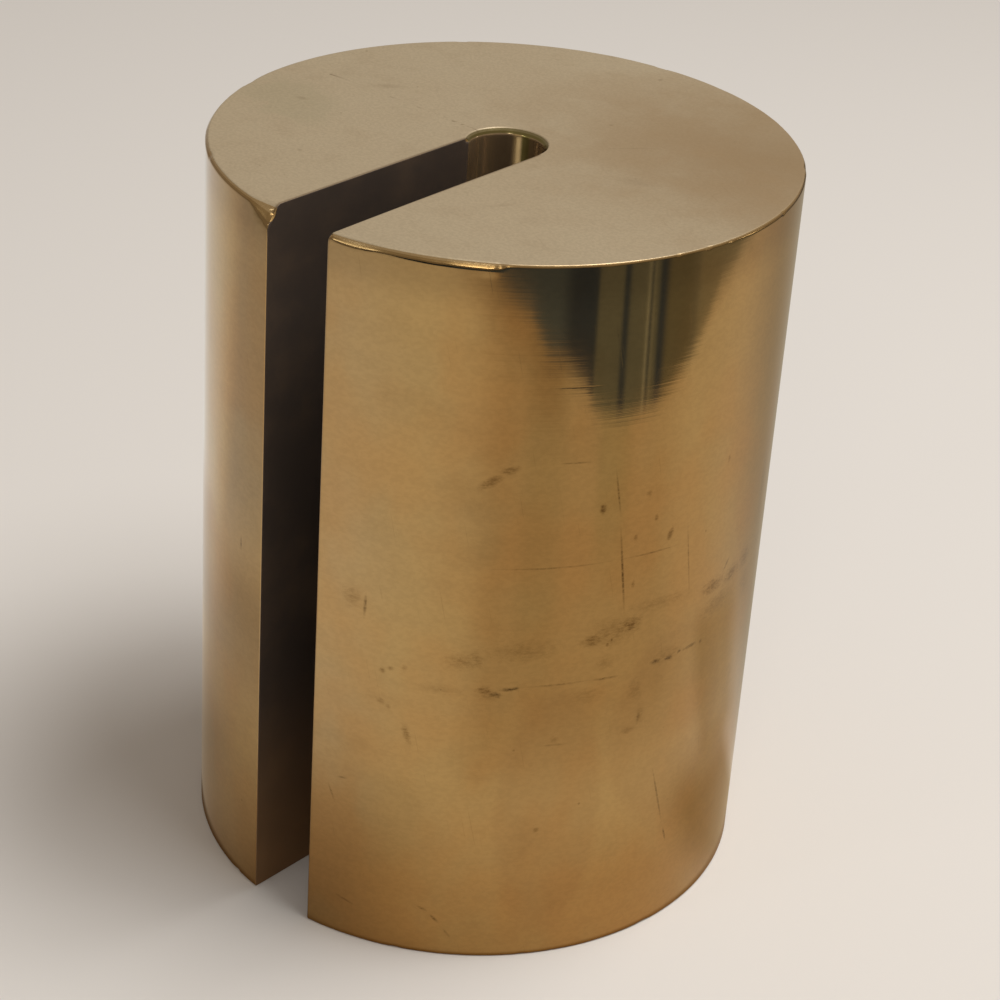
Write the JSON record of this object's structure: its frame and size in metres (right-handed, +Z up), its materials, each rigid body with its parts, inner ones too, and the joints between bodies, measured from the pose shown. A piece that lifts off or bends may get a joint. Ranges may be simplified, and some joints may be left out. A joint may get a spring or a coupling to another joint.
{
  "type": "slotted weight",
  "caption": "Solid brass cylinder weight with a radial slot that ends in a drilled seat on its axis, so it slides onto a hanger's stem.",
  "frame": {"origin": "on the cylinder's axis, at the centre of the base that the weight stands on", "axes": "+Z up along the cylinder's axis, -Y towards the slot's mouth, +X to the right as seen when looking along +Y into the mouth"},
  "size_m": [0.063, 0.0628, 0.083],
  "materials": {
    "brass": "turned, with a satin sheen on the side and a duller, oxidised top"
  },
  "bodies": {
    "root": {"weight_body": "brass"}
  },
  "joints": []
}
